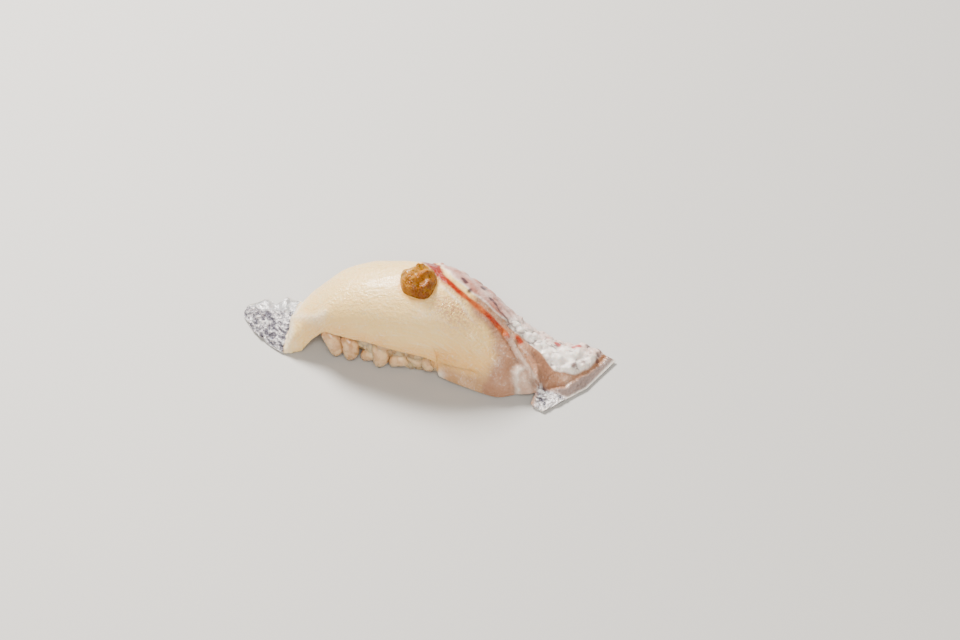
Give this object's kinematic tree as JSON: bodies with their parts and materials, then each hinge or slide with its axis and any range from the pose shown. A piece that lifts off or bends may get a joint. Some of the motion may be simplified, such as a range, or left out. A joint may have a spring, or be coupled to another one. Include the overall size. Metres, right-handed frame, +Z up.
{
  "type": "sea bream nigiri",
  "caption": "Long slice of raw sea bream with a strip of scalded skin draped over a pressed block of rice, with a dab of relish on its crown.",
  "frame": {"origin": "under the middle of the outline, on the surface the rice stands on", "axes": "+Z up, +X along the slice towards its skin end, -Y the side where the rice shows"},
  "size_m": [0.1014, 0.031, 0.0284],
  "materials": {
    "cooked_rice": "moist, slightly see-through",
    "raw_sea_bream": "moist, with a puckered white skin along one side",
    "relish": "wet paste"
  },
  "bodies": {
    "root": {"rice": "cooked_rice", "fish_slice": "raw_sea_bream", "relish_dab": "relish"}
  },
  "joints": []
}
